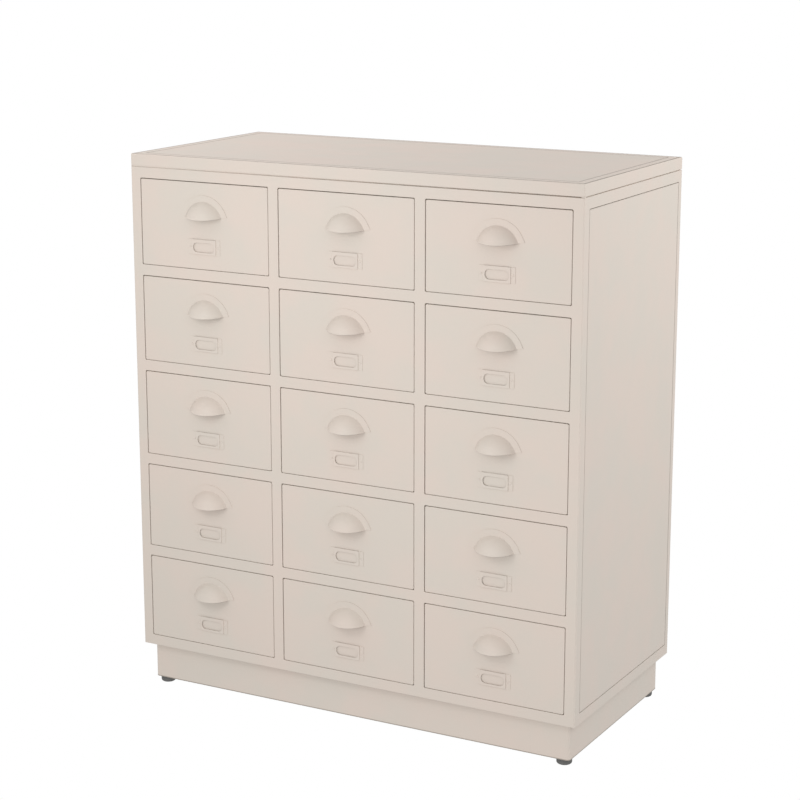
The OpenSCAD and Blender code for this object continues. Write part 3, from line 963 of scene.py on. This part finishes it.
@dataclass
class CupPull:
    """A pull pressed from sheet: part of a sphere that blends into a flange, with a rolled open edge.

    Attributes:
        half_width: Half of the dome's width along its open edge.
        rise: The dome's height over that edge.
        flange: Width of the flange around the dome.
        sheet: Thickness of the sheet.
        bead: How far the sheet swells out over the rolled edge.
        bead_height: Height of that swelling.
        drop: How far the middle of the open edge hangs down.
        lift: How far its ends at the flange's tips are raised.
        tip: Half of the flange's width along the open edge.
        fade: Height at which the edge's curve has faded out.
        roll: Radius of the rolled edge.
        roll_start: How far the dome stands out where the rolled edge reaches that radius.
        roll_least: Least radius of the rolled edge, as a share of roll.
        roll_reach: How much of the dome's width it spans, before the sine spaces its points.
        blend: How far the dome and the flange blend, in metres of height.
        edge: Radius of the sheet's edges.
        edge_angle: Least angle of an edge that is rounded, in degrees.
        rows: Rows of points over the face.
        columns: Points in a row.
        core: Half of the first row's width.
        core_rise: Height from which the rows are concentric with the dome.
        crowding: Power that brings the rows closer together near the open edge.
    """

    half_width: float = 0.0385
    rise: float = 0.0285
    flange: float = 0.011
    sheet: float = 0.0009
    bead: float = 0.0006
    bead_height: float = 0.0034
    drop: float = 0.0019
    lift: float = 0.0028
    tip: float = 0.050
    fade: float = 0.012
    roll: float = 0.0012
    roll_start: float = 0.008
    roll_least: float = 0.05
    roll_reach: float = 0.97
    blend: float = 0.0020
    edge: float = 0.00035
    edge_angle: float = 50.0
    rows: int = 34
    columns: int = 45
    core: float = 0.012
    core_rise: float = 0.022
    crowding: float = 1.4

    def sunk(self, rise: float) -> float:
        """How far the centre of an arc over the open edge lies below it, for the arc's rise."""
        return (self.half_width ** 2 - rise ** 2) / (2 * rise)

    def arcs(self, below: float, rise: float) -> tuple[Array, Array]:
        """A grid over the pull's face whose rows are circle arcs that stand on the open edge.

        A row of height h is the arc through (-w, 0), (0, h) and (w, 0), with
        w * w = h * h + 2 * below * h + (core * (1 - h / core_rise)) ** 2. So the rows are concentric
        with the dome from core_rise up, and the first is a straight stretch of the edge. Point t of a
        row, from -1 to 1, lies at the angle sin(pi / 2 * t) * a, and a is the row's half angle. Row s,
        from 0 to 1, has the height rise * s ** crowding.

        Args:
            below: How far the dome's middle lies below the open edge.
            rise: Height of the last row.

        Returns:
            The first and the second coordinates of the grid.
        """
        height = (rise * np.linspace(0, 1, self.rows) ** self.crowding)[:, None]
        spare = np.maximum(1 - height / self.core_rise, 0)
        half = np.sqrt(height ** 2 + 2 * below * height + (self.core * spare) ** 2)
        angle = np.maximum(2 * np.arctan2(height, half), LEAST_ANGLE)
        share = np.sin(np.pi / 2 * np.linspace(-1, 1, self.columns))[None, :]
        across = half * np.sin(angle * share) / np.sin(angle)
        up = height - half * (1 - np.cos(angle * share)) / np.sin(angle)
        return across, np.maximum(up, 0)

    def stand(self, across: Array, up: Array, out: float) -> Array:
        """How far the sheet's face stands out over points of the drawer front.

        At distance d from the dome's middle the dome stands sqrt(r * r - d * d) - behind out, the flange
        stands one sheet out, and a smooth maximum blends them. The swelling over the rolled edge adds
        bead * cos(pi / 2 * up / bead_height) ** 2, and grows in over the first three sheets' thickness.

        Args:
            across: First coordinates, from the pull's middle.
            up: Second coordinates, from its open edge.
            out: How far the pull stands out in all.

        Returns:
            The face's distance from the drawer front.
        """
        below, behind = self.sunk(self.rise), self.sunk(out)
        radius = math.sqrt(self.half_width ** 2 + below ** 2 + behind ** 2)
        distance = np.hypot(across, up + below)
        dome = (np.sqrt(np.maximum(radius ** 2 - distance ** 2, 0)) - behind) * (1 - self.bead / out)
        near = np.maximum(self.blend - np.abs(dome - self.sheet), 0) / self.blend
        face = np.maximum(dome, self.sheet) + near ** 2 * self.blend / 4
        swelling = self.bead * np.cos(np.pi / 2 * np.clip(up / self.bead_height, 0, 1)) ** 2
        return face + swelling * np.clip((face - self.sheet) / (3 * self.sheet), 0, 1)

    def sag(self, across: Array, up: Array) -> Array:
        """How far points hang down: (drop - (drop + lift) * (across / tip) ** 2) * (1 - up / fade) ** 2."""
        curve = self.drop - (self.drop + self.lift) * (across / self.tip) ** 2
        return curve * np.maximum(1 - up / self.fade, 0) ** 2

    def skin(self, out: float) -> Surface:
        """The sheet's outer face over the grid of arcs, its open edge on zero.

        Args:
            out: How far the pull stands out in all.

        Returns:
            The skin as (first, out to the front, up), without its thickness.
        """
        across, up = self.arcs(self.sunk(self.rise), self.rise + self.flange)
        face = self.stand(across, up, out)
        points = np.stack([across, -face, up - self.sag(across, up)], -1).reshape(-1, 3)
        faces = grid_faces(self.rows, self.columns, False, False)
        # painted highlight, partly thin coat: a pale band just above the open edge
        wear_and_highlight = np.clip(1 - up / self.bead_height, 0, 1) * (face > 4 * self.sheet) * 0.5
        return Surface(points, faces.tolist(), wear_and_highlight.ravel(), np.zeros(len(points)))

    def rolled_edge(self, out: float) -> Surface:
        """The rolled edge: a tube along the open edge that tapers to nothing at both ends.

        The path p runs along the sheet's face at the open edge, and n is its normal in the horizontal
        plane. Point a of a ring lies at p - r * n + r * (n * cos a - up * sin a). Its radius r grows with
        the distance that the face stands out, up to roll at roll_start. Its underside has 2 * sin a - 0.6 of
        painted shade: a dark line under the lip.

        Args:
            out: How far the pull stands out in all.

        Returns:
            The closed tube as (first, out to the front, up).
        """
        share = np.linspace(-self.roll_reach, self.roll_reach, self.columns)
        across = self.half_width * np.sin(np.pi / 2 * share)
        face = self.stand(across, np.zeros_like(across), out)
        along = np.stack([np.gradient(across), np.gradient(face)], -1)
        along /= np.linalg.norm(along, axis=-1, keepdims=True)
        grown = (face - self.sheet) / (self.roll_start - self.sheet)
        radius = self.roll * np.clip(grown, self.roll_least, 1)
        turn = np.linspace(0, 2 * np.pi, 4 * EDGE_STEPS, endpoint=False)
        inward = radius[:, None] * (1 - np.cos(turn))
        first = across[:, None] + along[:, 1:] * inward
        level = face[:, None] - along[:, :1] * inward
        up = -self.sag(across, np.zeros_like(across))[:, None] - radius[:, None] * np.sin(turn)
        points = np.stack([first, -level, up], -1).reshape(-1, 3)
        rings, sides = len(across), len(turn)
        faces = grid_faces(rings, sides, False, True).tolist()
        faces += [list(range(sides))[::-1], list(range((rings - 1) * sides, rings * sides))]
        # painted shade: a dark line along the rolled edge's underside
        painted_shade = np.tile(np.clip(2 * np.sin(turn) - 0.6, 0, 1), rings)
        return Surface(points, faces, np.zeros(len(points)), painted_shade)

    def build(self, shop: Workshop, tag: str, body: str) -> None:
        """Makes the pull on its drawer.

        Args:
            shop: Where the pieces are made.
            tag: The drawer's tag.
            body: The drawer's body.
        """
        node = f"cup_pull_{tag}"
        low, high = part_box(node)
        origin = ((low.x + high.x) / 2, high.y, low.z)
        out = high.y - low.y
        piece = shop.make(f"pull_{tag}", self.skin(out).moved(origin), Slot.FITTING, body, (node,))
        wall = piece.modifiers.new("sheet", "SOLIDIFY")
        wall.thickness = self.sheet
        wall.offset = -1.0
        soft = piece.modifiers.new("soft_edges", "BEVEL")
        soft.width = self.edge
        soft.segments = 2
        soft.limit_method = "ANGLE"
        soft.angle_limit = math.radians(self.edge_angle)
        piece.modifiers.move(0, len(piece.modifiers) - 1)  # even shading comes last
        shop.make(f"rolled_edge_{tag}", self.rolled_edge(out).moved(origin), Slot.FITTING, body)


@dataclass
class CardHolder:
    """A bent frame with a window, open above for a card, with an ear and a rivet on each side.

    Attributes:
        frame_width: Width of the raised frame.
        side_border: Width of the frame's border beside its window.
        top_border: Width of the frame's border over its window.
        bottom_border: Width of the frame's border under its window.
        window_corner: Radius of the window's corners.
        sheet: Thickness of the sheet.
        edge: Radius of the sheet's edges.
        frame_edge: Radius of the raised frame's outer edge.
        bend: Radius of the frame's outer corners.
        rivet: Radius of a rivet's head.
        rivet_height: Height of a rivet's head over the ear.
        rivet_turn: Angle at which the rings of its head stop, short of a quarter turn.
    """

    frame_width: float = 0.051
    side_border: float = 0.003
    top_border: float = 0.006
    bottom_border: float = 0.004
    window_corner: float = 0.008
    sheet: float = 0.0008
    edge: float = 0.0003
    frame_edge: float = 0.0006
    bend: float = 0.0012
    rivet: float = 0.002
    rivet_height: float = 0.0009
    rivet_turn: float = 0.48 * math.pi

    def plate(self, size: tuple[float, float], out: float, origin: tuple[float, float, float]) -> Surface:
        """The frame's front plate with its window, from one sheet behind its face to its face.

        Args:
            size: Width and height of the raised frame.
            out: How far its face stands out.
            origin: Middle of the holder's back.

        Returns:
            A ring of outlines: the rim, over its rounded edge, and down into the window.
        """
        rim = around((0, 0), size, self.bend, out - self.sheet)
        window = Outline((self.side_border - size[0] / 2, self.bottom_border - size[1] / 2),
                         (size[0] / 2 - self.side_border, size[1] / 2 - self.top_border),
                         self.window_corner, out)
        # paler edges of the frame and window: thin coat and painted highlight
        over = round_over(rim, self.frame_edge, out, wear_and_highlight=0.8)
        under = round_under(window.inset(-self.edge, out), self.edge, out, wear_and_highlight=0.5)
        rows = [replace(window, out=out - self.sheet), rim, *over, window.inset(-2 * self.edge, out), *under]
        return loft(rows, Facing.FRONT, origin, ring=True)

    def wall(self, size: tuple[float, float], out: float, origin: tuple[float, float, float]) -> Surface:
        """The frame's bent sides and bottom: a strip carried along a U with round corners.

        The path runs down one side, round two quarter turns of radius bend and up the other side. The
        strip's four corners lie 0 or one sheet in from it, at the drawer's face and behind the plate.

        Args:
            size: Width and height of the raised frame.
            out: How far its face stands out.
            origin: Middle of the holder's back.

        Returns:
            The closed strip.
        """
        half, low, high = size[0] / 2, -size[1] / 2, size[1] / 2 - self.bend
        turn = np.linspace(0, np.pi / 2, ARC_STEPS + 1)
        offsets = np.array([0, self.sheet, self.sheet, 0])[:, None]
        arc = self.bend - offsets
        left = np.stack([-half + self.bend - arc * np.cos(turn), low + self.bend - arc * np.sin(turn)], -1)
        right = left[:, ::-1] * np.array([-1, 1])
        start = np.stack([left[:, :1, 0], np.full((4, 1), high)], -1)
        path = np.concatenate([start, left, right, start * np.array([-1, 1])], 1)
        level = np.broadcast_to(np.array([0, 0, out - self.sheet, out - self.sheet])[:, None, None],
                                (*path.shape[:2], 1))
        points = Facing.FRONT.place(np.concatenate([path, level], -1), origin)
        count = path.shape[1]
        ends = [[k * count for k in range(4)], [k * count + count - 1 for k in range(4)][::-1]]
        surface = plain_surface(points, grid_faces(4, count, True, False))
        surface.faces += ends
        return surface

    def build(self, shop: Workshop, tag: str, body: str) -> None:
        """Makes the holder and its rivets on its drawer.

        Args:
            shop: Where the pieces are made.
            tag: The drawer's tag.
            body: The drawer's body.
        """
        node = f"label_holder_{tag}"
        low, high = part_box(node)
        out, width, height = high.y - low.y, high.x - low.x, high.z - low.z
        origin = ((low.x + high.x) / 2, high.y, (low.z + high.z) / 2)
        size = (self.frame_width, height)
        ear = (width - self.frame_width) / 2 + self.sheet
        pieces = [self.plate(size, out, origin), self.wall(size, out, origin)]
        rivets = []
        for side in (-1, 1):
            middle = (side * (width - ear) / 2, 0)
            corner = self.bend if side > 0 else 0
            radius = (corner, self.bend - corner, self.bend - corner, corner)
            foot = around(middle, (ear, height), radius, 0)
            # paler ear edges: thin coat and painted highlight
            face = round_over(foot, self.edge, self.sheet, wear_and_highlight=0.5)
            pieces.append(loft([foot, *face], Facing.FRONT, origin))
            head = around((side * (width + self.frame_width) / 4, 0), (2 * self.rivet,) * 2, self.rivet,
                          self.sheet)
            dome = [head.inset(self.rivet * (1 - math.cos(t)), self.sheet + self.rivet_height * math.sin(t))
                    for t in np.linspace(0, self.rivet_turn, 2 * EDGE_STEPS)]
            rivets.append(loft(dome, Facing.FRONT, origin))
        shop.make(f"card_holder_{tag}", joined(pieces), Slot.FITTING, body, (node,))
        shop.make(f"rivets_{tag}", joined(rivets), Slot.FITTING, body)


@dataclass
class Drawer:
    """A pan-shaped front with a tray and two slide bars behind it.

    Attributes:
        shop: Where the pieces are made.
        row: Its row, 1 at the top.
        column: Its column, 1 on the left.
        corner: Radius of the front's corners.
        edge: Radius of the front's folded edge.
        wear_and_highlight_fade: Width over which the paler folded edge fades out.
        fold: Depth of the fold around the front.
        sheet: Thickness of the front.
        side_space: Distance of the tray's side from the front's side.
        lift: Height of the tray over the front's lower edge.
        tray_height: Height of the tray.
        tray_sheet: Thickness of the tray's sheet.
        tray_corner: Radius of its upright corners and of the fold along its bottom.
        fold_middle: How far the middle of that fold is drawn in.
        cove: Radius of the fold inside, along its floor.
        cove_middle: How far the middle of the cove is drawn in, and how high it lies.
        floor_fade: Width over which the darkening along the cove fades out.
        hem: Thickness of the tray's folded hem.
        hem_height: Height of that hem.
        hem_fall: Height over which the hem's lower edge meets the side.
        bar: Width and height of a slide bar.
        bar_edge: Radius of its edges.
        bar_lift: Height of the bar's underside over the tray's underside.
        bar_start: Distance of the bar's front end behind the front's face.
        pull: Its cup pull.
        holder: Its card holder.
    """

    shop: Workshop
    row: int
    column: int
    corner: float = 0.003
    edge: float = 0.0013
    wear_and_highlight_fade: float = 0.0065
    fold: float = 0.0182
    sheet: float = 0.0012
    side_space: float = 0.0114
    lift: float = 0.0074
    tray_height: float = 0.125
    tray_sheet: float = 0.001
    tray_corner: float = 0.0015
    fold_middle: float = 0.0004
    cove: float = 0.003
    cove_middle: tuple[float, float] = (0.001, 0.0018)
    floor_fade: float = 0.012
    hem: float = 0.0024
    hem_height: float = 0.007
    hem_fall: float = 0.0008
    bar: tuple[float, float] = (0.009, 0.006)
    bar_edge: float = 0.0006
    bar_lift: float = 0.040
    bar_start: float = 0.0195
    pull: CupPull = field(default_factory=CupPull)
    holder: CardHolder = field(default_factory=CardHolder)

    def __post_init__(self) -> None:
        """Reads the drawer's place from the frame."""
        self.tag = f"r{self.row}c{self.column}"
        self.body = f"drawer_{self.tag}"
        self.low, self.high = (np.array(corner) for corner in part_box(self.body))

    def build(self) -> None:
        """Makes every piece of the drawer."""
        self.front()
        self.tray()
        self.bars()
        self.pull.build(self.shop, self.tag, self.body)
        self.holder.build(self.shop, self.tag, self.body)

    def front(self) -> None:
        """The front: a flat face with folded edges, hollow behind."""
        rim = Outline((self.low[0], self.low[2]), (self.high[0], self.high[2]), self.corner, -self.fold)
        inside = rim.inset(self.sheet, -self.sheet)
        # painted highlight, partly thin coat: a pale line along the folded edge
        rows = [inside, replace(inside, out=-self.fold), rim, *round_over(rim, self.edge, 0, wear_and_highlight=0.8),
                rim.inset(self.wear_and_highlight_fade, 0)]
        self.shop.make(f"front_{self.tag}", loft(rows, Facing.FRONT, (0, self.low[1], 0)), Slot.DRAWER,
                       self.body, (self.body,))

    def tray(self) -> None:
        """The tray: a folded box, open above, with a hem folded inwards along its top.

        At angle t the hem's outline is drawn in by hem / 2 * (1 - cos t) and lies hem / 2 * (1 - sin t)
        under the top.
        """
        start = self.low[1] + self.sheet
        rim = Outline((self.low[0] + self.side_space, start), (self.high[0] - self.side_space, self.high[1]),
                      self.tray_corner, 0)
        top, hem_foot, wall = self.tray_height, self.tray_height - self.hem_height, self.tray_sheet
        soft = self.hem / 2
        under = [rim.inset(self.tray_corner, 0), rim.inset(self.fold_middle, self.fold_middle),
                 rim.inset(0, self.tray_corner)]
        # paler hem: thin coat and painted highlight
        hem = [rim.inset(soft * (1 - math.cos(t)), top - soft + soft * math.sin(t), wear_and_highlight=0.5)
               for t in np.linspace(0, math.pi, 2 * EDGE_STEPS + 1)]
        # darker under the hem and along the cove
        inside = [rim.inset(self.hem, hem_foot), rim.inset(wall, hem_foot - self.hem_fall, shade_and_dust=0.2),
                  rim.inset(wall, wall + self.cove),
                  rim.inset(wall + self.cove_middle[0], self.cove_middle[1], shade_and_dust=0.4),
                  rim.inset(wall + self.cove, wall, shade_and_dust=0.2), rim.inset(wall + self.floor_fade, wall)]
        self.shop.make(f"tray_{self.tag}", loft(under + hem + inside, Facing.UP,
                                                (0, 0, self.low[2] + self.lift)), Slot.DRAWER, self.body)

    def bars(self) -> None:
        """The slide bars, one on each side of the tray."""
        start = self.low[1] + self.bar_start
        length = self.high[1] - start
        z = self.low[2] + self.lift + self.bar_lift + self.bar[1] / 2
        blocks = []
        for side in (-1, 1):
            edge_x = self.high[0] - self.side_space if side > 0 else self.low[0] + self.side_space
            blocks.append(soft_block((*self.bar, length), self.bar_edge, Facing.FRONT,
                                     (edge_x + side * self.bar[0] / 2, self.high[1], z)))
        self.shop.make(f"slide_bars_{self.tag}", joined(blocks), Slot.ZINC, self.body)


# ---------------------------------------------------------------- plinth and feet

@dataclass
class Base:
    """The plinth with its glides.

    Attributes:
        shop: Where the pieces are made.
        body: The body that they ride on.
        glide_radius: Radius of a glide.
        glide_round: Radius of the rounding at a glide's lower edge.
        glide_chamfer: Width of the chamfer around a glide's top.
        glide_fade: Distance from a glide's side at which its paler edge has faded out.
        hem: Height of the hem along the plinth's lower edge.
        hem_out: How far the hem stands out.
        shade_end: Angle on the hem beyond which it has no painted shade.
        corner: Radius of the plinth's corners.
    """

    shop: Workshop
    body: str = "case"
    glide_radius: float = 0.014
    glide_round: float = 0.004
    glide_chamfer: float = 0.001
    glide_fade: float = 0.003
    hem: float = 0.0024
    hem_out: float = 0.0003
    shade_end: float = 0.8 * math.pi
    corner: float = 0.006

    def build(self) -> None:
        """Makes the glides and the hem, and dresses the plinth and the studs."""
        self.glides()
        self.plinth_hem()
        self.shop.dress("plinth", Slot.CASE)
        self.shop.dress("foot_studs", Slot.ZINC)

    def glides(self) -> None:
        """Round glides: circles from the floor over a rounded edge up to a chamfered top."""
        low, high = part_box("foot_pads")
        height = high.z - low.z
        size = (2 * self.glide_radius,) * 2
        made = []
        for x in (low.x + self.glide_radius, high.x - self.glide_radius):
            for y in (low.y + self.glide_radius, high.y - self.glide_radius):
                side = around((x, y), size, self.glide_radius, 0)
                # painted highlight band, partly wear: paler rounded edge and chamfer
                foot = turned_over(round_over(side, self.glide_round, height), height, wear_and_highlight=0.8)
                chamfer = [replace(side, out=height - self.glide_chamfer, wear_and_highlight=0.5),
                           side.inset(self.glide_chamfer, height, wear_and_highlight=0.9),
                           side.inset(self.glide_fade, height)]
                made.append(loft(foot + chamfer, Facing.UP, (0, 0, low.z)))
        self.shop.make("glides", joined(made), Slot.FOOT, self.body, ("foot_pads",))

    def plinth_hem(self) -> None:
        """A folded hem along the plinth's lower edge: a bead carried round the plinth.

        At angle t its outline stands out by hem_out * sin t, at hem / 2 * (1 - cos t) over the edge. It has
        1.2 + cos t of painted shade, at most 1, up to the end angle: a dark line along the plinth's foot.
        """
        low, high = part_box("plinth")
        rim = Outline((low.x, low.y), (high.x, high.y), self.corner, 0)
        # painted shade: a dark line along the plinth's lower edge
        bead = [rim.inset(-self.hem_out * math.sin(t), self.hem / 2 * (1 - math.cos(t)),
                          shade_and_dust=min(1.0, 1.2 + math.cos(t)) if t < self.shade_end else 0.0)
                for t in np.linspace(0, math.pi, 2 * EDGE_STEPS + 1)]
        inside = [rim.inset(self.hem_out, self.hem), rim.inset(self.hem_out, 0)]
        self.shop.make("plinth_hem", loft(bead + inside, Facing.UP, (0, 0, low.z), ring=True), Slot.CASE,
                       self.body)


# ---------------------------------------------------------------- stage

@dataclass(frozen=True)
class Softbox:
    """A square lamp with a diffuser.

    Attributes:
        name: Its name.
        place: Where it hangs, in metres.
        target: What it points at.
        size: Its side, in metres.
        power: Its power in watts.
        colour: Its light's colour.
    """

    name: str
    place: tuple[float, float, float]
    target: tuple[float, float, float]
    size: float
    power: float
    colour: Colour = (1.0, 1.0, 1.0)

    def build(self) -> None:
        """Hangs the lamp, turned so that it faces its target."""
        lamp = bpy.data.lights.new(self.name, "AREA")
        lamp.size = self.size
        lamp.energy = self.power
        lamp.color = self.colour
        light = bpy.data.objects.new(self.name, lamp)
        light.location = self.place
        away = np.subtract(self.place, self.target)
        light.rotation_euler = (math.atan2(math.hypot(away[0], away[1]), away[2]), 0.0,
                                math.atan2(away[0], -away[1]))
        bpy.context.scene.collection.objects.link(light)


@dataclass(frozen=True)
class Stage:
    """White floor, soft lights and the camera.

    Attributes:
        camera_place: Where the camera stands, in metres.
        azimuth: How far the camera's view is turned from +Y towards -X, in degrees.
        elevation: How far it looks down, in degrees.
        lens: Its focal length in millimetres.
        sensor: Width of its sensor in millimetres.
        sky: Brightness of the surroundings.
        sky_colour: Colour of the surroundings.
        floor_glow: Brightness of the floor.
        floor_radius: Radius of the floor, in metres.
        floor_thick: Its thickness.
        lamps: The softboxes.
    """

    camera_place: tuple[float, float, float] = (1.809, -3.298, 1.455)
    azimuth: float = 28.78
    elevation: float = 13.27
    lens: float = 94.14
    sensor: float = 36.0
    sky: float = 0.71
    sky_colour: Colour = (1.0, 1.0, 1.0)
    floor_glow: float = 1.0
    floor_radius: float = 90.0
    floor_thick: float = 0.02
    lamps: tuple[Softbox, ...] = (
        Softbox("over", (-0.8, 0.1, 2.0), (-0.3, 0.0, 1.0), 1.0, 5.3, (1.0, 0.92, 0.9)),
        Softbox("front", (0.35, -2.1, 0.66), (0.0, -0.2, 0.6), 1.0, 6.6),
        Softbox("upper", (-0.3, -1.15, 1.1), (-0.05, -0.2, 0.95), 0.5, 2.7),
        Softbox("side", (1.9, 0.4, 1.55), (0.45, 0.1, 0.8), 1.0, 13.5),
        Softbox("low", (0.5, -1.7, 0.16), (0.0, -0.2, 0.6), 0.9, 3.2, (1.0, 0.95, 0.94)),
    )

    def build(self) -> None:
        """Makes the floor, the lights and the camera."""
        self._world()
        self._floor()
        for lamp in self.lamps:
            lamp.build()
        self._camera()

    def _world(self) -> None:
        """Even pale surroundings."""
        world = bpy.data.worlds.new("surroundings")
        world.use_nodes = True
        sky = world.node_tree.nodes["Background"]
        sky.inputs["Color"].default_value = (*self.sky_colour, 1.0)
        sky.inputs["Strength"].default_value = self.sky
        scene = bpy.context.scene
        scene.world = world
        scene.view_settings.view_transform = "Standard"

    def _floor(self) -> None:
        """A round white floor with no edge in view. It throws no light up at the cabinet."""
        shader = Shader("floor_white")
        shader.set(Base_Color=(0.0, 0.0, 0.0), Roughness=1.0, Specular_IOR_Level=0.0,
                   Emission_Color=(1.0, 1.0, 1.0), Emission_Strength=self.floor_glow)
        ring = around((0, 0), (2 * self.floor_radius,) * 2, self.floor_radius, 0)
        disc = loft([replace(ring, out=-self.floor_thick), ring], Facing.UP, (0, 0, 0))
        mesh = bpy.data.meshes.new("floor")
        mesh.from_pydata(disc.points.tolist(), [], disc.faces)
        mesh.materials.append(shader.material)
        floor = bpy.data.objects.new("floor", mesh)
        bpy.context.scene.collection.objects.link(floor)
        floor.visible_diffuse = False
        floor.visible_glossy = False

    def _camera(self) -> None:
        """The camera, with no depth of field."""
        data = bpy.data.cameras.new("camera")
        data.sensor_width = self.sensor
        data.lens = self.lens
        data.clip_end = 4 * self.floor_radius
        camera = bpy.data.objects.new("camera", data)
        camera.location = self.camera_place
        camera.rotation_euler = (math.radians(90 - self.elevation), 0.0, math.radians(self.azimuth))
        bpy.context.scene.collection.objects.link(camera)
        bpy.context.scene.camera = camera


def main() -> None:
    """Builds the cabinet's looks in order."""
    logging.basicConfig(level=logging.INFO, format="%(name)s: %(message)s")
    finishes = {
        Slot.CASE: PowderCoat("case_coat").material(),
        Slot.DRAWER: PowderCoat("drawer_coat").material(),
        Slot.FITTING: PowderCoat("fitting_coat", peel=0.00001).material(),
        Slot.INNER: PowderCoat("inner_coat", colour=(0.54, 0.48, 0.42), roughness=0.6).material(),
        Slot.ZINC: ZincPlate("zinc").material(),
        Slot.FOOT: MouldedPlastic("glide_plastic").material(),
    }
    shop = Workshop(finishes)
    Case(shop).build()
    for row in range(1, ROWS + 1):
        for column in range(1, COLUMNS + 1):
            Drawer(shop, row, column).build()
    Base(shop).build()
    Stage().build()
    LOG.info("%d pieces made", shop.count)


if __name__ == "__main__":
    main()
